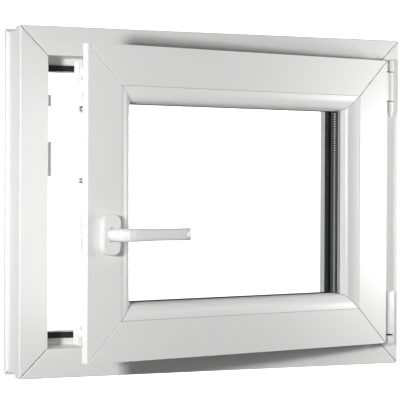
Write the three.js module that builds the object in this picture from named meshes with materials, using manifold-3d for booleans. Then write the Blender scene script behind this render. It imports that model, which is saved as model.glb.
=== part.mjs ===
// Tilt-and-turn window: a fixed PVC frame with one double-glazed sash that is hinged on its right and
// stands open. Millimetres, +X to the hinge side, +Y outdoors, +Z up, origin on the sill face.
import * as THREE from "three";
import { mergeVertices } from "three/addons/utils/BufferGeometryUtils.js";
import Module from "manifold-3d";

const wasm = await Module();
wasm.setup();

// Whole window
const WIDTH = 700;
const HEIGHT = 570;
const SETBACK = 12; // room face of the frame to the middle of its fixing rib
const OPEN_ANGLE = THREE.MathUtils.degToRad(13); // how far the sash stands open
const GAP = 0.3; // clearance between touching pieces
const MITRE_GAP = 0.7; // each bar stops this short of its mitre line

// Frame profile: u runs from the outer edge to the opening, y from the room face outdoors
const FRAME_DEPTH = 85;
const FRAME_FACE = 47.5;
const LIP_REACH = 70;
const LIP_FRONT = 66;
const RECESS_DEPTH = 4;
const RECESS_START = 26;
const RECESS_END = 74;

// Sash profile: u runs from the sash edge to the glass, w from the room face outdoors
const SASH_MARGIN = 38; // frame edge to sash edge
const SASH_FACE_Y = -18; // room face of the closed sash
const SASH_DEPTH = 80;
const OVERLAP_WIDTH = 20;
const BODY_EDGE = OVERLAP_WIDTH + 3; // the sash body behind the hardware groove
const OVERLAP_DEPTH = 15;
const BEAD_LINE = 63.5;
const BEAD_WIDTH = 25;
const BEAD_DEPTH = 23;
const GLASS_EDGE = 74;
const OUTER_FLANGE = 62;
const GROOVE_FRONT = 40;
const GROOVE_MIDDLE = 48;
const GROOVE_BACK = 56;

// Hinge side
const HINGE_X = 327;
const HINGE_Y = -10;
const BARREL_RADIUS = 5.5;

// Handle
const HANDLE_U = 36;
const HANDLE_Z = 237;
const CAM_HEIGHTS = [320, 432];

const SASH_WIDTH = WIDTH - 2 * SASH_MARGIN;
const SASH_HEIGHT = HEIGHT - 2 * SASH_MARGIN;
const SASH_LEFT = -SASH_WIDTH / 2;

const finish = (color, roughness, metalness = 0) => ({ color, roughness, metalness });
const PVC = finish("#f1f1f0", 0.32);
const RUBBER = finish("#161616", 0.75);
const GREY_RUBBER = finish("#8d8d8d", 0.7);
const STEEL = finish("#b9bcc0", 0.35, 1);
const ZINC = finish("#c9cbce", 0.4, 1);
const LACQUER = finish("#f4f4f3", 0.25);
const GLASS = finish("#e9f3f2", 0.03);
const SPACER = finish("#5a5c5f", 0.45, 0.6);
const PACKER = finish("#3b6ea8", 0.6);

const root = new THREE.Group();

// Groups: pieces that stay with the frame, and pieces drawn closed and then swung open about the hinge
const fixed = new THREE.Group();
const swung = new THREE.Group();
swung.position.set(HINGE_X, HINGE_Y - SETBACK, 0);
swung.rotation.z = OPEN_ANGLE;
const leaf = new THREE.Group();
leaf.position.set(-HINGE_X, -HINGE_Y, 0);
swung.add(leaf);
fixed.position.y = -SETBACK;
root.add(fixed, swung);

function addPiece(group, name, geometry, look) {
  const mesh = new THREE.Mesh(geometry, new THREE.MeshStandardMaterial(look));
  mesh.name = name;
  group.add(mesh);
  return mesh;
}

// Geometry from a list of points and triangles
function fromTriangles(points, triangles) {
  const geometry = new THREE.BufferGeometry();
  geometry.setAttribute("position", new THREE.Float32BufferAttribute(points.flat(), 3));
  geometry.setIndex(triangles.flat());
  geometry.computeVertexNormals();
  return geometry;
}

function toVectors(outline) {
  return outline.map(([a, b]) => new THREE.Vector2(a, b));
}

// A closed outline turned so that it runs counter-clockwise (or clockwise for a hole)
function oriented(outline, hole = false) {
  const clockwise = THREE.ShapeUtils.isClockWise(toVectors(outline));
  return clockwise === hole ? outline : [...outline].reverse();
}

// One straight member with mitred ends: the profile (u, y) runs along X, u rises along Z
function mitredBar(outline, hole, length, gap) {
  const rings = [oriented(outline)];
  if (hole) rings.push(oriented(hole, true));
  const flat = rings.flat();
  const points = [];
  for (const end of [-1, 1]) {
    for (const [u, y] of flat) points.push([end * (length / 2 - u - gap), y, u]);
  }
  const count = flat.length;
  const caps = THREE.ShapeUtils.triangulateShape(toVectors(rings[0]), hole ? [toVectors(rings[1])] : []);
  const triangles = [];
  for (const [a, b, c] of caps) {
    triangles.push([a, b, c]);
    triangles.push([count + a, count + c, count + b]);
  }
  let start = 0;
  for (const ring of rings) {
    for (let i = 0; i < ring.length; i += 1) {
      const a = start + i;
      const b = start + ((i + 1) % ring.length);
      triangles.push([a, count + a, count + b]);
      triangles.push([a, count + b, b]);
    }
    start += ring.length;
  }
  return fromTriangles(points, triangles);
}

// The four members of a rectangular ring, width by height, whose lower edge is at z = bottom
function mitredSet(outline, hole, width, height, bottom, gap = MITRE_GAP) {
  const centre = bottom + height / 2;
  const bars = {};
  for (const [side, angle, length, x, z] of [
    ["bottom", 0, width, 0, bottom],
    ["right", -Math.PI / 2, height, width / 2, centre],
    ["top", Math.PI, width, 0, bottom + height],
    ["left", Math.PI / 2, height, -width / 2, centre],
  ]) {
    const bar = mitredBar(outline, hole, length, gap);
    bar.rotateY(angle);
    bar.translate(x, 0, z);
    bars[side] = bar;
  }
  return bars;
}

// One closed ring of constant profile round a rectangle
function wholeRing(outline, width, height, bottom) {
  const profile = oriented(outline);
  const points = [];
  const triangles = [];
  const count = profile.length;
  for (const [sx, sz] of [[-1, -1], [1, -1], [1, 1], [-1, 1]]) {
    for (const [u, y] of profile) {
      points.push([sx * (width / 2 - u), y, bottom + height / 2 + sz * (height / 2 - u)]);
    }
  }
  for (let corner = 0; corner < 4; corner += 1) {
    const here = corner * count;
    const next = ((corner + 1) % 4) * count;
    for (let i = 0; i < count; i += 1) {
      const j = (i + 1) % count;
      triangles.push([here + i, next + i, next + j]);
      triangles.push([here + i, next + j, here + j]);
    }
  }
  return fromTriangles(points, triangles);
}

const rectangle = (a0, a1, b0, b1) => [[a0, b0], [a1, b0], [a1, b1], [a0, b1]];

function block(x0, x1, y0, y1, z0, z1) {
  const geometry = new THREE.BoxGeometry(x1 - x0, y1 - y0, z1 - z0);
  geometry.translate((x0 + x1) / 2, (y0 + y1) / 2, (z0 + z1) / 2);
  return geometry;
}

// A plan outline (x, y) raised from z0 to z1
function raised(outline, z0, z1) {
  const shape = new THREE.Shape(toVectors(outline));
  const geometry = new THREE.ExtrudeGeometry(shape, { depth: z1 - z0, bevelEnabled: false });
  geometry.translate(0, 0, z0);
  return geometry;
}

function rod(x, y, z0, z1, radius, sides = 20) {
  const geometry = new THREE.CylinderGeometry(radius, radius, z1 - z0, sides);
  geometry.rotateX(Math.PI / 2);
  geometry.translate(x, y, (z0 + z1) / 2);
  return geometry;
}

// A round bar along Y
function crossRod(x, z, y0, y1, radius, sides = 24) {
  const geometry = new THREE.CylinderGeometry(radius, radius, y1 - y0, sides);
  geometry.translate(x, (y0 + y1) / 2, z);
  return geometry;
}

function toSolid(geometry) {
  const bare = geometry.clone();
  bare.deleteAttribute("normal");
  bare.deleteAttribute("uv");
  const merged = mergeVertices(bare, 1e-4);
  return new wasm.Manifold(new wasm.Mesh({
    numProp: 3,
    vertProperties: merged.attributes.position.array,
    triVerts: new Uint32Array(merged.index.array),
  }));
}

function toGeometry(solid) {
  const mesh = solid.getMesh();
  const geometry = new THREE.BufferGeometry();
  geometry.setAttribute("position", new THREE.Float32BufferAttribute(mesh.vertProperties, 3));
  geometry.setIndex(Array.from(mesh.triVerts));
  geometry.computeVertexNormals();
  return geometry;
}

function joined(...geometries) {
  return toGeometry(geometries.map(toSolid).reduce((whole, next) => whole.add(next)));
}

function cut(geometry, ...tools) {
  return toGeometry(tools.map(toSolid).reduce((whole, tool) => whole.subtract(tool), toSolid(geometry)));
}

// Frame
const FRAME_OUTLINE = [
  [0, 0], [FRAME_FACE, 0], [FRAME_FACE, LIP_FRONT], [LIP_REACH, LIP_FRONT], [LIP_REACH, FRAME_DEPTH],
  [0, FRAME_DEPTH], [0, RECESS_END], [RECESS_DEPTH, RECESS_END], [RECESS_DEPTH, RECESS_START],
  [0, RECESS_START],
];
const FRAME_CHAMBER = rectangle(9, 43.5, 6, 76);

function buildFrame() {
  const bars = mitredSet(FRAME_OUTLINE, FRAME_CHAMBER, WIDTH, HEIGHT, 0);
  for (const slot of [-180, 180]) {
    bars.bottom = cut(bars.bottom, block(slot - 14, slot + 14, 72, 86, 22, 27));
  }
  for (const [side, geometry] of Object.entries(bars)) {
    addPiece(fixed, `frame_${side}`, geometry, PVC);
  }
  for (const [side, x] of [["left", 26 - WIDTH / 2], ["right", WIDTH / 2 - 26]]) {
    const tube = block(x - 14, x + 14, 12, 50, 60, HEIGHT - 60);
    const hollow = block(x - 12, x + 12, 14, 48, 50, HEIGHT - 50);
    addPiece(fixed, `frame_core_${side}`, cut(tube, hollow), STEEL);
  }
  const seal = rectangle(59, 69, LIP_FRONT - 3.7, LIP_FRONT - 0.2);
  addPiece(fixed, "frame_seal", wholeRing(seal, WIDTH, HEIGHT, 0), RUBBER);
}

function buildDrainCaps() {
  for (const [name, x] of [["left", -180], ["right", 180]]) {
    const cap = block(x - 18, x + 18, FRAME_DEPTH + 0.1, FRAME_DEPTH + 2.6, 18, 31);
    addPiece(fixed, `drain_cap_${name}`, cap, PVC);
  }
}

// Striker plates on the handle side: the cam slides behind the lip
function buildStrikers() {
  const x = -WIDTH / 2 + FRAME_FACE;
  const plan = [
    [x + 0.3, 9], [x + 8.5, 9], [x + 8.5, 24], [x + 2.8, 24], [x + 2.8, 46], [x + 0.3, 46],
  ];
  addPiece(fixed, "striker_lower", raised(plan, 327, 383), ZINC);
  addPiece(fixed, "striker_upper", raised(plan, 441, 459), ZINC);
}

const KNUCKLES = [[443, 461.2], [513.8, 532]];

// A hinge knuckle with the flat leaf on its sash side
function knuckle(z0, z1) {
  const barrel = rod(HINGE_X, HINGE_Y, z0, z1, BARREL_RADIUS);
  return joined(barrel, block(HINGE_X - 10.5, HINGE_X, HINGE_Y - 2.6, HINGE_Y + 2.6, z0, z1));
}

const hingeBore = (z0, z1) => rod(HINGE_X, HINGE_Y, z0, z1, 3);

function buildTopBearing() {
  const pieces = [block(HINGE_X - 1.8, HINGE_X + 9, HINGE_Y + 6.6, HINGE_Y + 9.7, 443, 532)];
  for (const [z0, z1] of KNUCKLES) {
    pieces.push(knuckle(z0, z1));
    pieces.push(block(HINGE_X - 1.8, HINGE_X + 5.5, HINGE_Y, HINGE_Y + 8, z0, z1));
  }
  addPiece(fixed, "top_bearing", cut(joined(...pieces), hingeBore(440, 535)), LACQUER);
}

function buildTopPin() {
  const profile = [
    [0, 432], [1.6, 433], [3.4, 436], [4.4, 440], [4.4, 442.8], [2.7, 442.8], [2.7, 532.4], [4.2, 532.4],
    [3.8, 534], [2, 535], [0, 535.4],
  ];
  const pin = new THREE.LatheGeometry(toVectors(profile), 20);
  pin.rotateX(Math.PI / 2);
  pin.translate(HINGE_X, HINGE_Y, 0);
  addPiece(fixed, "top_hinge_pin", pin, LACQUER);
}

// Plan of the bottom hinge pieces: a rounded block round the axis
function roundedPlan(x0, x1, y0, y1, radius) {
  const middle = [(x0 + x1) / 2, (y0 + y1) / 2];
  return stadium(HINGE_X + middle[0], HINGE_Y + middle[1], (x1 - x0) / 2, (y1 - y0) / 2, radius);
}

function buildBottomBearing() {
  const body = joined(
    raised(roundedPlan(-6.2, 7, -6.6, 7, 2.4), 37, 50),
    block(HINGE_X - 5, HINGE_X + 6, HINGE_Y, HINGE_Y + 9.7, 37, 50),
  );
  addPiece(fixed, "bottom_bearing", cut(body, hingeBore(40, 52)), LACQUER);
}

// Turning pin under the sash
function buildCornerPivot() {
  const profile = [[0, 41], [2.6, 41], [2.6, 50.3], [5.4, 50.3], [5.4, 51.2], [0, 51.2]];
  const pin = new THREE.LatheGeometry(toVectors(profile), 20);
  pin.rotateX(Math.PI / 2);
  pin.translate(HINGE_X, HINGE_Y, 0);
  addPiece(leaf, "corner_pin", pin, STEEL);
}

// Sash, in its closed place
const BEAD_EDGE = BEAD_LINE + BEAD_WIDTH;
const SASH_OUTLINE = [
  [0, 0], [BEAD_LINE - GAP, 0], [BEAD_LINE - GAP, OUTER_FLANGE], [BEAD_EDGE, OUTER_FLANGE],
  [BEAD_EDGE, SASH_DEPTH - 6], [BEAD_EDGE - 5, SASH_DEPTH], [BODY_EDGE + 5, SASH_DEPTH],
  [BODY_EDGE, SASH_DEPTH - 5], [BODY_EDGE, GROOVE_BACK + 3], [OVERLAP_WIDTH, GROOVE_BACK],
  [BODY_EDGE, GROOVE_BACK], [BODY_EDGE, GROOVE_BACK - 3], [BODY_EDGE + 8, GROOVE_BACK - 3],
  [BODY_EDGE + 8, GROOVE_FRONT + 3], [BODY_EDGE, GROOVE_FRONT + 3], [BODY_EDGE, GROOVE_FRONT],
  [OVERLAP_WIDTH, GROOVE_FRONT], [OVERLAP_WIDTH, OVERLAP_DEPTH], [0, OVERLAP_DEPTH],
];
const SASH_CHAMBER = rectangle(37, 59, 6, 74);

const sashY = (w) => SASH_FACE_Y + w;
const lockY = (offset) => sashY(GROOVE_MIDDLE + offset);
const moved = (geometry) => geometry.translate(0, SASH_FACE_Y, 0);

function sashRing(outline) {
  return moved(wholeRing(outline, SASH_WIDTH, SASH_HEIGHT, SASH_MARGIN));
}

function buildSashMembers() {
  const bars = mitredSet(SASH_OUTLINE, SASH_CHAMBER, SASH_WIDTH, SASH_HEIGHT, SASH_MARGIN);
  for (const bar of Object.values(bars)) moved(bar);
  const axis = SASH_LEFT + HANDLE_U;
  bars.left = cut(
    bars.left,
    block(SASH_LEFT + BODY_EDGE - 0.5, SASH_LEFT + 47, lockY(-6.4), lockY(6.4), HANDLE_Z - 49, HANDLE_Z + 49),
    crossRod(axis, HANDLE_Z, sashY(-1), sashY(43), 6.5),
  );
  for (const [side, geometry] of Object.entries(bars)) addPiece(leaf, `sash_${side}`, geometry, PVC);
}

function beadOutline() {
  const steps = 8;
  const outline = [[BEAD_LINE, BEAD_DEPTH]];
  for (let i = 0; i <= steps; i += 1) {
    const t = (i / steps) * (Math.PI / 2);
    const u = BEAD_LINE + BEAD_WIDTH * Math.sin(t);
    const w = BEAD_DEPTH - 1.4 - (BEAD_DEPTH - 2) * Math.cos(t);
    outline.push([u, w]);
  }
  outline.push([BEAD_EDGE, BEAD_DEPTH]);
  return outline;
}

function buildBeads() {
  const bars = mitredSet(beadOutline(), null, SASH_WIDTH, SASH_HEIGHT, SASH_MARGIN);
  for (const [side, geometry] of Object.entries(bars)) addPiece(leaf, `bead_${side}`, moved(geometry), PVC);
}

function pane(w0, w1) {
  const inset = GLASS_EDGE;
  const top = SASH_MARGIN + SASH_HEIGHT - inset;
  return block(SASH_LEFT + inset, -SASH_LEFT - inset, sashY(w0), sashY(w1), SASH_MARGIN + inset, top);
}

function buildGlassUnit() {
  addPiece(leaf, "pane_inner", pane(27.2, 31.2), GLASS);
  addPiece(leaf, "pane_outer", pane(47.2, 51.2), GLASS);
  addPiece(leaf, "glass_spacer", sashRing(rectangle(GLASS_EDGE + 5, BEAD_EDGE, 31.4, 47)), SPACER);
  addPiece(leaf, "edge_sealant", sashRing(rectangle(GLASS_EDGE, GLASS_EDGE + 4.8, 31.4, 47)), RUBBER);
  addPiece(leaf, "bead_seal", sashRing(rectangle(82, BEAD_EDGE + 1.8, 23.3, 27)), GREY_RUBBER);
  const outer = [
    [80, 51.4], [BEAD_EDGE + 1, 51.4], [BEAD_EDGE + 0.4, 56], [BEAD_EDGE + 1.2, OUTER_FLANGE - GAP],
    [80, OUTER_FLANGE - GAP],
  ];
  addPiece(leaf, "outer_glass_seal", sashRing(outer), RUBBER);
}

function buildPackers() {
  const low = SASH_MARGIN + BEAD_LINE;
  const high = SASH_MARGIN + GLASS_EDGE - GAP;
  for (const [name, x] of [["left", -170], ["right", 170]]) {
    addPiece(leaf, `packer_${name}`, block(x - 30, x + 30, sashY(27), sashY(51), low, high), PACKER);
  }
}

// The soft seal behind the overlap, cut away where the stay passes
function buildOverlapSeal() {
  const ring = sashRing(rectangle(3, 8, OVERLAP_DEPTH + 0.1, OVERLAP_DEPTH + 2.4));
  const notch = block(-SASH_LEFT - 12, -SASH_LEFT, sashY(14), sashY(19), 464, 511);
  addPiece(leaf, "overlap_seal", cut(ring, notch), RUBBER);
}

// Hinge band at the foot of the sash: a cap round the axis on an arm from the sash edge
function buildHingeBand() {
  const cap = raised(roundedPlan(-6.2, 6.8, -6.6, 6.6, 2.4), 54, 128);
  const arm = block(HINGE_X - 14.7, HINGE_X - 5, HINGE_Y + 1.5, HINGE_Y + 6.4, 57, 122);
  addPiece(leaf, "bottom_hinge_band", joined(cap, arm), LACQUER);
}

// Lock: faceplate, gearbox, drive rail and cams on the handle side
function buildLock() {
  const edge = SASH_LEFT + OVERLAP_WIDTH;
  const plate = block(edge + GAP, edge + 2.7, lockY(-7.7), lockY(7.7), 76, 494);
  const slots = CAM_HEIGHTS.map((z) => block(edge - 1, edge + 4, lockY(-4.6), lockY(4.6), z - 25, z + 25));
  const window = block(edge - 1, edge + 4, lockY(-4), lockY(4), HANDLE_Z - 27, HANDLE_Z + 27);
  addPiece(leaf, "lock_faceplate", cut(plate, ...slots, window), ZINC);
  const box = block(edge + 6.4, edge + 24.4, lockY(-5.4), lockY(5.4), HANDLE_Z - 46, HANDLE_Z + 46);
  const hub = crossRod(SASH_LEFT + HANDLE_U, HANDLE_Z, lockY(-6), lockY(4), 5.6);
  addPiece(leaf, "gearbox", cut(box, hub), ZINC);
  const rail = block(edge + 3.3, edge + 5.8, lockY(-4.6), lockY(4.6), 96, 472);
  addPiece(leaf, "drive_rail", rail, ZINC);
  CAM_HEIGHTS.forEach((z, i) => {
    const cam = new THREE.CylinderGeometry(4, 4, 10, 18);
    cam.rotateZ(Math.PI / 2);
    cam.translate(edge - 1.9, lockY(0), z);
    addPiece(leaf, `lock_cam_${i === 0 ? "lower" : "upper"}`, cam, STEEL);
  });
}

// Handle: rosette, spindle and lever
function stadium(centreX, centreZ, halfWidth, halfHeight, radius) {
  const points = [];
  const corners = [[1, 1, 0], [-1, 1, 90], [-1, -1, 180], [1, -1, 270]];
  for (const [sx, sz, start] of corners) {
    for (let i = 0; i <= 5; i += 1) {
      const angle = THREE.MathUtils.degToRad(start + i * 18);
      const x = centreX + sx * (halfWidth - radius) + radius * Math.cos(angle);
      const z = centreZ + sz * (halfHeight - radius) + radius * Math.sin(angle);
      points.push([x, z]);
    }
  }
  return points;
}

// An upright outline (x, z) carried from y0 to y1
function carried(outline, y0, y1) {
  const shape = new THREE.Shape(toVectors(outline));
  const geometry = new THREE.ExtrudeGeometry(shape, { depth: y1 - y0, bevelEnabled: false });
  geometry.rotateX(Math.PI / 2);
  geometry.translate(0, y1, 0);
  return geometry;
}

function buildRosette() {
  const x = SASH_LEFT + HANDLE_U;
  const base = carried(stadium(x, HANDLE_Z, 14.4, 30, 11), sashY(-2.6), sashY(-0.2));
  addPiece(leaf, "rosette_base", cut(base, crossRod(x, HANDLE_Z, sashY(-4), sashY(1), 6.5)), ZINC);
  const outline = stadium(x, HANDLE_Z, 15.2, 31, 11.6);
  const cover = cut(carried(outline, sashY(-15), sashY(-2.9)), crossRod(x, HANDLE_Z, sashY(-16), sashY(-1), 11));
  addPiece(leaf, "rosette_cover", cover, LACQUER);
}

// Stations along the lever: reach toward the hinge, height off the sash, half height, half thickness
const LEVER_STATIONS = [
  [0, 3.2, 10.4, 10.4], [0, 15, 10.4, 10.4], [0, 27, 10.3, 10.2], [0.6, 36, 10.2, 9.8], [3.2, 43.5, 10.1, 8.8],
  [8.5, 48.6, 10, 7.9], [16, 51, 9.9, 7.2], [26, 51.8, 9.7, 6.8], [42, 52, 9.3, 6.4], [60, 52, 9, 6.2],
  [80, 52, 9, 6.2], [98, 51.8, 9.2, 6.4], [110, 51, 9.4, 6.6], [118, 48.6, 9.5, 6.4],
  [123.5, 44, 9.4, 5.8], [127, 38, 9, 4.6], [128.4, 34, 7.6, 3],
];

const NECK_STATIONS = 4; // the round part before the grip
const GRIP_SQUARENESS = 0.72; // below 1 the section grows flatter faces and tighter corners

const eased = (value, power) => Math.sign(value) * Math.abs(value) ** power;

function leverLoft(centreX) {
  const sides = 24;
  const points = [];
  const triangles = [];
  const path = LEVER_STATIONS.map(([reach, height]) => new THREE.Vector2(reach, -height));
  LEVER_STATIONS.forEach(([reach, height, tall, thick], i) => {
    const ahead = path[Math.min(i + 1, path.length - 1)];
    const behind = path[Math.max(i - 1, 0)];
    const tangent = ahead.clone().sub(behind).normalize();
    const power = i < NECK_STATIONS ? 1 : GRIP_SQUARENESS;
    for (let k = 0; k < sides; k += 1) {
      const angle = (k / sides) * 2 * Math.PI;
      const out = thick * eased(Math.cos(angle), power);
      const up = tall * eased(Math.sin(angle), power);
      points.push([
        centreX + reach - tangent.y * out,
        SASH_FACE_Y - height + tangent.x * out,
        HANDLE_Z + up,
      ]);
    }
  });
  for (let i = 0; i + 1 < LEVER_STATIONS.length; i += 1) {
    for (let k = 0; k < sides; k += 1) {
      const a = i * sides + k;
      const b = i * sides + ((k + 1) % sides);
      triangles.push([a, b, b + sides]);
      triangles.push([a, b + sides, a + sides]);
    }
  }
  const last = (LEVER_STATIONS.length - 1) * sides;
  for (let k = 1; k + 1 < sides; k += 1) {
    triangles.push([0, k + 1, k]);
    triangles.push([last, last + k, last + k + 1]);
  }
  return fromTriangles(points, triangles);
}

function buildLever() {
  const x = SASH_LEFT + HANDLE_U;
  addPiece(leaf, "lever", leverLoft(x), LACQUER);
  addPiece(leaf, "spindle", block(x - 3.5, x + 3.5, sashY(-2.9), sashY(51), HANDLE_Z - 3.5, HANDLE_Z + 3.5), STEEL);
}

// Stay arm: sleeve on the hinge axis, bent tab through the side gap, strip above the sash, guide pin
function buildStayArm() {
  addPiece(leaf, "stay_sleeve", cut(knuckle(462.6, 512.4), hingeBore(460, 515)), LACQUER);
  const tab = raised([
    [HINGE_X - 10.8, HINGE_Y - 2.6], [HINGE_X - 10.8, HINGE_Y + 7.8], [HINGE_X - 6, HINGE_Y + 7.8],
    [HINGE_X - 6, HINGE_Y + 9.2], [HINGE_X - 29, HINGE_Y + 9.2], [HINGE_X - 29, HINGE_Y + 44],
    [HINGE_X - 31.5, HINGE_Y + 44], [HINGE_X - 31.5, HINGE_Y + 7.8], [HINGE_X - 13.2, HINGE_Y + 7.8],
    [HINGE_X - 13.2, HINGE_Y - 2.6],
  ], 468, 507);
  const riser = block(HINGE_X - 31.5, HINGE_X - 29, HINGE_Y + 30, HINGE_Y + 44, 500, 518);
  const strip = block(HINGE_X - 273, HINGE_X - 29, HINGE_Y + 33, HINGE_Y + 47, 515, 518);
  addPiece(leaf, "stay_arm", joined(tab, riser, strip), ZINC);
  addPiece(leaf, "stay_guide_pin", rod(HINGE_X - 265, HINGE_Y + 40, 504.5, 514.8, 3.2), STEEL);
}

function buildAll() {
  buildFrame();
  buildDrainCaps();
  buildStrikers();
  buildTopBearing();
  buildTopPin();
  buildBottomBearing();
  buildCornerPivot();
  buildSashMembers();
  buildBeads();
  buildGlassUnit();
  buildPackers();
  buildOverlapSeal();
  buildHingeBand();
  buildLock();
  buildRosette();
  buildLever();
  buildStayArm();
}

buildAll();

export default root;
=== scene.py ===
"""Looks of the tilt-and-turn window: white PVC, rubber seals, clear double glazing and metal fittings."""

import math

import bpy
from mathutils import Matrix, Vector


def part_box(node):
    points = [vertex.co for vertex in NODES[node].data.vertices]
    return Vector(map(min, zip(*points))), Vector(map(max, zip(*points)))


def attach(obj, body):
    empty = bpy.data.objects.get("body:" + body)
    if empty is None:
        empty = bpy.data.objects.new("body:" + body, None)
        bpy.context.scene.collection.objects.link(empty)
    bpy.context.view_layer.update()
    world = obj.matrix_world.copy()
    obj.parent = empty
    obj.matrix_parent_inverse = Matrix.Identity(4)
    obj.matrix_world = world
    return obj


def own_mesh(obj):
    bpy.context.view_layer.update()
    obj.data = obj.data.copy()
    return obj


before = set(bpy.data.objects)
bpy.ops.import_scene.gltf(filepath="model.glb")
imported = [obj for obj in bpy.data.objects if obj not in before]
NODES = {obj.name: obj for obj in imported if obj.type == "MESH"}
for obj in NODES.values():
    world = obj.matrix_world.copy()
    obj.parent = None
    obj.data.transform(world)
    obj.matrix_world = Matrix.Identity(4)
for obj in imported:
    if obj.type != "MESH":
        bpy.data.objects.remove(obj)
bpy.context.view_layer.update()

SCENE = bpy.context.scene
SCENE_COLLECTION = SCENE.collection

OPEN_ANGLE = math.radians(13)  # the sash stands this far open
SASH_X = Vector((math.cos(OPEN_ANGLE), math.sin(OPEN_ANGLE), 0))  # along the sash, to the hinges
SASH_OUT = Vector((math.sin(OPEN_ANGLE), -math.cos(OPEN_ANGLE), 0))  # from the sash into the room
UP = Vector((0, 0, 1))


# ---------------------------------------------------------------- materials

def new_material(name):
    """A node material with its Principled shader and node tree."""
    material = bpy.data.materials.new(name)
    material.use_nodes = True
    tree = material.node_tree
    return material, tree, tree.nodes["Principled BSDF"]


def noise(tree, scale, detail=2.0):
    """Object-space noise."""
    coords = tree.nodes.new("ShaderNodeTexCoord")
    texture = tree.nodes.new("ShaderNodeTexNoise")
    texture.inputs["Scale"].default_value = scale
    texture.inputs["Detail"].default_value = detail
    tree.links.new(coords.outputs["Object"], texture.inputs["Vector"])
    return texture.outputs["Fac"]


def ramp(tree, factor, low, high):
    """Map a 0..1 factor to low..high."""
    node = tree.nodes.new("ShaderNodeMapRange")
    node.inputs["To Min"].default_value = low
    node.inputs["To Max"].default_value = high
    tree.links.new(factor, node.inputs["Value"])
    return node.outputs["Result"]


def add_bump(tree, shader, height, strength, distance):
    """Fine surface relief."""
    bump = tree.nodes.new("ShaderNodeBump")
    bump.inputs["Strength"].default_value = strength
    bump.inputs["Distance"].default_value = distance
    tree.links.new(height, bump.inputs["Height"])
    tree.links.new(bump.outputs["Normal"], shader.inputs["Normal"])


def plastic(name, color, roughness, spread=0.04, relief=0.04):
    """Smooth plastic, rubber or lacquer with a slightly uneven sheen."""
    material, tree, shader = new_material(name)
    shader.inputs["Base Color"].default_value = (*color, 1)
    level = ramp(tree, noise(tree, 35), roughness - spread, roughness + spread)
    tree.links.new(level, shader.inputs["Roughness"])
    add_bump(tree, shader, noise(tree, 900, 1.0), relief, 0.0003)
    return material


def extruded(name, color, roughness, along):
    """Extruded plastic: a satin skin with faint draw lines along the bar."""
    material, tree, shader = new_material(name)
    shader.inputs["Base Color"].default_value = (*color, 1)
    coords = tree.nodes.new("ShaderNodeTexCoord")
    stretch = tree.nodes.new("ShaderNodeMapping")
    stretch.inputs["Scale"].default_value = [0.012 if axis == along else 1 for axis in "XYZ"]
    tree.links.new(coords.outputs["Object"], stretch.inputs["Vector"])
    lines = tree.nodes.new("ShaderNodeTexNoise")
    lines.inputs["Scale"].default_value = 260
    lines.inputs["Detail"].default_value = 3
    tree.links.new(stretch.outputs["Vector"], lines.inputs["Vector"])
    level = ramp(tree, lines.outputs["Fac"], roughness - 0.05, roughness + 0.05)
    tree.links.new(level, shader.inputs["Roughness"])
    add_bump(tree, shader, lines.outputs["Fac"], 0.10, 0.0004)
    return material


def metal(name, color, roughness):
    """Brushed or cast metal."""
    material, tree, shader = new_material(name)
    shader.inputs["Base Color"].default_value = (*color, 1)
    shader.inputs["Metallic"].default_value = 1.0
    level = ramp(tree, noise(tree, 120), roughness - 0.08, roughness + 0.08)
    tree.links.new(level, shader.inputs["Roughness"])
    add_bump(tree, shader, noise(tree, 1500, 1.0), 0.08, 0.0002)
    return material


def clear_glass(name):
    """Thin clear glass: see-through, with a mirror sheen that grows at low angles on both faces."""
    material, tree, shader = new_material(name)
    tree.nodes.remove(shader)
    see_through = tree.nodes.new("ShaderNodeBsdfTransparent")
    see_through.inputs["Color"].default_value = (0.995, 0.997, 0.996, 1)
    mirror = tree.nodes.new("ShaderNodeBsdfGlossy")
    level = ramp(tree, noise(tree, 6), 0.0, 0.02)
    tree.links.new(level, mirror.inputs["Roughness"])
    slant = tree.nodes.new("ShaderNodeLayerWeight")
    steep = tree.nodes.new("ShaderNodeMath")
    steep.operation = "POWER"
    steep.inputs[1].default_value = 5
    tree.links.new(slant.outputs["Facing"], steep.inputs[0])
    mix = tree.nodes.new("ShaderNodeMixShader")
    tree.links.new(ramp(tree, steep.outputs["Value"], 0.04, 1.0), mix.inputs["Fac"])
    tree.links.new(see_through.outputs["BSDF"], mix.inputs[1])
    tree.links.new(mirror.outputs["BSDF"], mix.inputs[2])
    output = tree.nodes["Material Output"]
    tree.links.new(mix.outputs["Shader"], output.inputs["Surface"])
    return material


WHITE = (0.86, 0.86, 0.855)
UPRIGHT_PVC = extruded("upright_pvc", WHITE, 0.33, "Z")
LEVEL_PVC = extruded("level_pvc", WHITE, 0.33, "X")
CAP_PVC = plastic("moulded_pvc", WHITE, 0.4)
RUBBER = plastic("black_rubber", (0.012, 0.012, 0.012), 0.55)
GREY_RUBBER = plastic("grey_rubber", (0.42, 0.42, 0.42), 0.5)
LACQUER = plastic("white_lacquer", (0.88, 0.88, 0.875), 0.22)
SILVER = plastic("silver_paint", (0.85, 0.85, 0.86), 0.35)
PACKER = plastic("packer_plastic", (0.08, 0.18, 0.42), 0.5)
STEEL = metal("plated_steel", (0.55, 0.56, 0.58), 0.32)
ZINC = metal("satin_zinc", (0.80, 0.81, 0.82), 0.45)
GLASS = clear_glass("float_glass")
SPACER = plastic("spacer_bar", (0.05, 0.05, 0.052), 0.45)

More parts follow.
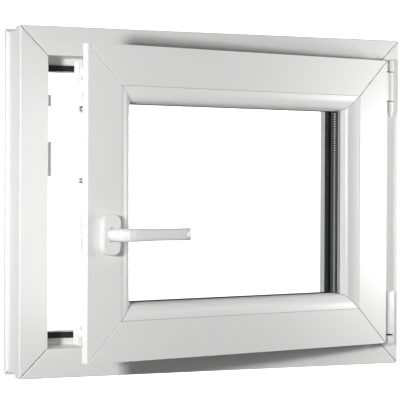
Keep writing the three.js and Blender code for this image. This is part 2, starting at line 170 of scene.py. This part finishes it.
SIDES = ("left", "right", "top", "bottom")
MATERIAL_OF = {
    UPRIGHT_PVC: [f"{part}_{side}" for part in ("frame", "sash", "bead") for side in ("left", "right")],
    LEVEL_PVC: [f"{part}_{side}" for part in ("frame", "sash", "bead") for side in ("top", "bottom")],
    CAP_PVC: ["drain_cap_left", "drain_cap_right"],
    RUBBER: ["frame_seal", "edge_sealant", "overlap_seal", "outer_glass_seal"],
    GREY_RUBBER: ["bead_seal"],
    LACQUER: ["top_bearing", "top_hinge_pin", "stay_sleeve", "bottom_bearing", "bottom_hinge_band",
              "rosette_cover", "lever"],
    PACKER: ["packer_left", "packer_right"],
    STEEL: ["frame_core_left", "frame_core_right", "corner_pin", "lock_cam_lower", "lock_cam_upper",
            "spindle", "stay_guide_pin"],
    ZINC: ["striker_lower", "striker_upper", "lock_faceplate", "gearbox", "drive_rail", "rosette_base",
           "stay_arm"],
    GLASS: ["pane_inner", "pane_outer"],
    SPACER: ["glass_spacer"],
}


def dress_nodes():
    """Each CAD node gets its material."""
    for material, names in MATERIAL_OF.items():
        for name in names:
            mesh = NODES[name].data
            mesh.materials.clear()
            mesh.materials.append(material)


# ---------------------------------------------------------------- edges

def soften(names, width, segments=3, angle=30):
    """Rounded edges and smooth curved faces on CAD nodes."""
    for name in names:
        node = NODES[name]
        weld = node.modifiers.new("weld", "WELD")
        weld.merge_threshold = 0.00001
        bevel = node.modifiers.new("edges", "BEVEL")
        bevel.width = width
        bevel.segments = segments
        bevel.limit_method = "ANGLE"
        bevel.angle_limit = math.radians(angle)
        normals = node.modifiers.new("normals", "WEIGHTED_NORMAL")
        normals.weight = 100
        normals.keep_sharp = True
        node.data.shade_smooth()


# ---------------------------------------------------------------- fine pieces

def at_sash(x, y, z):
    """A point given in the sash's own directions: along it, outdoors through it, and up."""
    return SASH_X * x - SASH_OUT * y + UP * z


def sash_box(name):
    """Lowest and highest corners of a node in the sash's own directions."""
    points = [vertex.co for vertex in NODES[name].data.vertices]
    rows = [(point.dot(SASH_X), -point.dot(SASH_OUT), point.z) for point in points]
    return [min(axis) for axis in zip(*rows)], [max(axis) for axis in zip(*rows)]


def add_piece(name, points, faces, material, body):
    """A mesh piece that rides on a body."""
    mesh = bpy.data.meshes.new(name)
    mesh.from_pydata(points, [], faces)
    mesh.materials.append(material)
    piece = bpy.data.objects.new(name, mesh)
    SCENE_COLLECTION.objects.link(piece)
    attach(piece, body)
    return piece


def add_lathe(name, axis_point, axis, profile, material, body, sides=48):
    """A turned piece: profile lists (radius, place along the axis) and closes on itself."""
    axis = Vector(axis).normalized()
    across = axis.orthogonal().normalized()
    other = axis.cross(across)
    points = []
    for radius, along in profile:
        for k in range(sides):
            angle = 2 * math.pi * k / sides
            spoke = across * math.cos(angle) + other * math.sin(angle)
            points.append(Vector(axis_point) + axis * along + spoke * radius)
    faces = []
    for i in range(len(profile)):
        for k in range(sides):
            after = (k + 1) % sides
            j = (i + 1) % len(profile)
            faces.append((i * sides + k, i * sides + after, j * sides + after, j * sides + k))
    piece = add_piece(name, points, faces, material, body)
    piece.data.shade_smooth()
    return piece


WASHER_BORE = 0.003
WASHER_HEIGHT = 0.0012
WASHER_GAP = 0.0001  # from a top hinge washer to the sleeve
BEARING_GAP = 0.0002  # from the bearing washer to the pieces above and below it
RIM_DROP = 0.0014  # the bearing washer is coned: its top is this far down at the rim
BORE_DROP = 0.0008  # and this far down at the bore
HOLE_PITCH = 0.0042
HOLE_WIDTH = 0.0022
HOLE_LENGTH = 0.0048
HOLE_RISE = 0.0003
HOLE_ROW = 0.4  # how far through the spacer bar the row lies, from its room side
SPACER_HEIGHT = 0.0095  # from the glass edge's sealant to the spacer's inner face


def add_stud(points, faces, centre, across, along, rise):
    """One low oval dome with eight sides, long across the bar, facing the way it rises."""
    first = len(points)
    turn = math.copysign(math.pi / 4, across.cross(along).dot(rise))
    for k in range(8):
        long_part = across * (HOLE_LENGTH / 2 * math.cos(k * turn))
        points.append(centre + long_part + along * (HOLE_WIDTH / 2 * math.sin(k * turn)))
    points.append(centre + rise)
    for k in range(8):
        faces.append((first + k, first + (k + 1) % 8, first + 8))


def build_spacer_perforation():
    """A row of bright embossed perforations round the inner face of the spacer bar."""
    low, high = sash_box("glass_spacer")
    left, right = low[0] + SPACER_HEIGHT, high[0] - SPACER_HEIGHT
    bottom, top = low[2] + SPACER_HEIGHT, high[2] - SPACER_HEIGHT
    y = low[1] + (high[1] - low[1]) * HOLE_ROW
    points, faces = [], []
    depth = -SASH_OUT
    for k in range(1, int((top - bottom) / HOLE_PITCH)):
        z = bottom + k * HOLE_PITCH
        add_stud(points, faces, at_sash(left, y, z), depth, UP, SASH_X * HOLE_RISE)
        add_stud(points, faces, at_sash(right, y, z), depth, UP, SASH_X * -HOLE_RISE)
    for k in range(1, int((right - left) / HOLE_PITCH)):
        x = left + k * HOLE_PITCH
        add_stud(points, faces, at_sash(x, y, bottom), depth, SASH_X, UP * HOLE_RISE)
        add_stud(points, faces, at_sash(x, y, top), depth, SASH_X, UP * -HOLE_RISE)
    add_piece("spacer_perforation", points, faces, SILVER, "sash")


def build_bearing_washer():
    """The black rubber washer between the two bottom hinge pieces."""
    low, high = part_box("corner_pin")
    middle = ((low.x + high.x) / 2, (low.y + high.y) / 2, 0)
    foot = high.z + BEARING_GAP
    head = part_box("bottom_hinge_band")[0].z - BEARING_GAP
    rim = head - RIM_DROP
    profile = [(WASHER_BORE, foot), (0.0062, foot), (0.0066, foot + 0.0004), (0.0066, rim - 0.0004),
               (0.0062, rim), (WASHER_BORE, head - BORE_DROP)]
    washer = add_lathe("bearing_washer", middle, (0, 0, 1), profile, RUBBER, "corner_pivot")
    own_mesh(washer)


def build_hinge_washers():
    """Black plastic washers in the two joints of the top hinge."""
    low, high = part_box("top_hinge_pin")
    middle = ((low.x + high.x) / 2, (low.y + high.y) / 2, 0)
    sleeve_foot, sleeve_head = (corner.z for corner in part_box("stay_sleeve"))
    for name, foot in (("hinge_washer_lower", sleeve_foot - WASHER_HEIGHT - WASHER_GAP),
                       ("hinge_washer_upper", sleeve_head + WASHER_GAP)):
        head = foot + WASHER_HEIGHT
        profile = [(WASHER_BORE, foot), (0.0055, foot), (0.0059, foot + 0.0003), (0.0059, head - 0.0003),
                   (0.0055, head), (WASHER_BORE, head)]
        add_lathe(name, middle, (0, 0, 1), profile, RUBBER, "frame")


SCREW_RADIUS = 0.0034
SCREW_SIDES = 24
SCREW_RINGS = ((1, 0.0001), (0.86, 0.0005), (0.62, 0.0006))  # share of the radius, and rise
FACEPLATE_SCREW_HEIGHTS = (0.09, 0.165, 0.278, 0.38, 0.48)
STRIKER_FACE = 0.0026  # from a striker's lowest x to just off the face of its plate
STRIKER_SCREW_INSET = 0.006  # from the plate's lower and upper ends
STRIKER_SCREW_DEPTH = 0.008  # from the plate's outdoor edge


def build_screw(name, centre, out, body):
    """A countersunk screw head with a cross recess."""
    out = Vector(out).normalized()
    across = out.cross(UP).normalized()
    points = []
    for share, rise in SCREW_RINGS:
        for k in range(SCREW_SIDES):
            angle = 2 * math.pi * k / SCREW_SIDES
            spoke = across * math.cos(angle) + UP * math.sin(angle)
            points.append(Vector(centre) + out * rise + spoke * (SCREW_RADIUS * share))
    for k in range(SCREW_SIDES):
        angle = 2 * math.pi * k / SCREW_SIDES
        arm = 0.58 if k % 6 in (0, 1, 5) else 0.24
        spoke = across * math.cos(angle) + UP * math.sin(angle)
        points.append(Vector(centre) - out * 0.0006 + spoke * (SCREW_RADIUS * arm))
    points.append(Vector(centre) - out * 0.0008)
    faces = []
    for ring in range(len(SCREW_RINGS)):
        for k in range(SCREW_SIDES):
            after = (k + 1) % SCREW_SIDES
            here, there = ring * SCREW_SIDES, (ring + 1) * SCREW_SIDES
            faces.append((here + k, here + after, there + after, there + k))
    for k in range(SCREW_SIDES):
        after = (k + 1) % SCREW_SIDES
        faces.append((3 * SCREW_SIDES + k, 3 * SCREW_SIDES + after, 4 * SCREW_SIDES))
    add_piece(name, points, faces, STEEL, body)


def build_screws():
    """Screws of the lock faceplate and the two striker plates."""
    low, high = sash_box("lock_faceplate")
    middle = (low[1] + high[1]) / 2
    for index, height in enumerate(FACEPLATE_SCREW_HEIGHTS):
        centre = at_sash(low[0], middle, height)
        build_screw(f"faceplate_screw_{index + 1}", centre, -SASH_X, "sash")
    for name in ("striker_lower", "striker_upper"):
        low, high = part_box(name)
        for end, height in (("low", low.z + STRIKER_SCREW_INSET), ("high", high.z - STRIKER_SCREW_INSET)):
            centre = (low.x + STRIKER_FACE, high.y - STRIKER_SCREW_DEPTH, height)
            build_screw(f"{name}_screw_{end}", centre, (1, 0, 0), "frame")


# ---------------------------------------------------------------- studio

ROOM_AIR = 0.02  # ambient light
BACKDROP = 1.7  # the backdrop as the camera sees it
FLOOR_GLOW = 0.5  # keeps the floor pale to look at, without lighting the window from below
FLOOR_RADIUS = 2.2
FLOOR_HEIGHT = -1.1
CAMERA_PLACE = (-1.21045, -2.65113, 0.31823)
CAMERA_TURN = (0.41941, -0.01026, 0.00407)  # yaw, pitch and roll
LENS = 154.95
WINDOW_MIDDLE = Vector((0, -0.05, 0.28))
SOFT_BOXES = (  # name, place, width and height, power
    ("key", (-1.15, -1.15, 0.38), (0.14, 0.14), 18.0),
    ("right", (1.0, -0.42, 0.28), (0.2, 0.4), 5.8),
    ("high", (0.75, -0.45, 0.75), (0.25, 0.25), 1.1),
    ("rim", (-0.9, 0.25, 0.28), (0.3, 0.6), 2.6),
    ("back", (1.5, 1.1, 0.35), (0.5, 0.8), 16.0),
    ("top", (0.1, 0.5, 1.3), (0.6, 0.3), 3.5),
)


def area_light(name, place, size, power):
    """A soft box at place that faces the middle of the window."""
    data = bpy.data.lights.new(name, "AREA")
    data.shape = "RECTANGLE"
    data.size, data.size_y = size
    data.energy = power
    light = bpy.data.objects.new(name, data)
    light.location = place
    light.rotation_euler = (WINDOW_MIDDLE - Vector(place)).to_track_quat("-Z", "Y").to_euler()
    SCENE_COLLECTION.objects.link(light)


def seen_only(tree, lighting, seen):
    """One strength for what the camera sees and another for the light that reaches the window."""
    path = tree.nodes.new("ShaderNodeLightPath")
    return ramp(tree, path.outputs["Is Camera Ray"], lighting, seen)


def build_floor():
    """A round pale floor, well below the hung window."""
    material, tree, shader = new_material("studio_floor")
    shader.inputs["Base Color"].default_value = (0.8, 0.8, 0.8, 1)
    level = ramp(tree, noise(tree, 3), 0.8, 0.95)
    tree.links.new(level, shader.inputs["Roughness"])
    shader.inputs["Emission Color"].default_value = (1, 1, 1, 1)
    tree.links.new(seen_only(tree, 0, FLOOR_GLOW), shader.inputs["Emission Strength"])
    turns = [k * math.pi / 32 for k in range(64)]
    rim = [(FLOOR_RADIUS * math.cos(turn), FLOOR_RADIUS * math.sin(turn), FLOOR_HEIGHT) for turn in turns]
    mesh = bpy.data.meshes.new("studio_floor")
    mesh.from_pydata(rim, [], [range(64)])
    mesh.materials.append(material)
    floor = bpy.data.objects.new("studio_floor", mesh)
    SCENE_COLLECTION.objects.link(floor)


def build_air():
    """A white backdrop to look at, and a dimmer ambient light."""
    world = bpy.data.worlds.new("studio_air")
    world.use_nodes = True
    tree = world.node_tree
    background = tree.nodes["Background"]
    background.inputs["Color"].default_value = (1, 1, 1, 1)
    tree.links.new(seen_only(tree, ROOM_AIR, BACKDROP), background.inputs["Strength"])
    SCENE.world = world


def build_studio():
    """Floor, ambient light and soft boxes."""
    SCENE.view_settings.view_transform = "Standard"
    build_floor()
    build_air()
    for soft_box in SOFT_BOXES:
        area_light(*soft_box)


def build_camera():
    """The standing point in front of the handle side, a little above mid-height."""
    yaw, pitch, roll = CAMERA_TURN
    forward = Vector((math.sin(yaw) * math.cos(pitch), math.cos(yaw) * math.cos(pitch), math.sin(pitch)))
    right = Vector((math.cos(yaw), -math.sin(yaw), 0))
    up = right.cross(forward)
    rolled_right = right * math.cos(roll) + up * math.sin(roll)
    rolled_up = up * math.cos(roll) - right * math.sin(roll)
    data = bpy.data.cameras.new("camera")
    data.sensor_width = 36
    data.lens = LENS
    camera = bpy.data.objects.new("camera", data)
    turn = Matrix((rolled_right, rolled_up, -forward)).transposed()
    camera.matrix_world = Matrix.Translation(CAMERA_PLACE) @ turn.to_4x4()
    SCENE_COLLECTION.objects.link(camera)
    SCENE.camera = camera


dress_nodes()
soften([f"frame_{side}" for side in SIDES] + [f"sash_{side}" for side in SIDES], 0.0018)
soften([f"bead_{side}" for side in SIDES], 0.0005)
soften(["rosette_cover"], 0.0012)
soften(["top_bearing", "top_hinge_pin", "stay_sleeve", "bottom_bearing", "bottom_hinge_band"], 0.0006)
soften(["frame_seal"], 0.0009)
build_spacer_perforation()
build_bearing_washer()
build_hinge_washers()
build_screws()
build_studio()
build_camera()
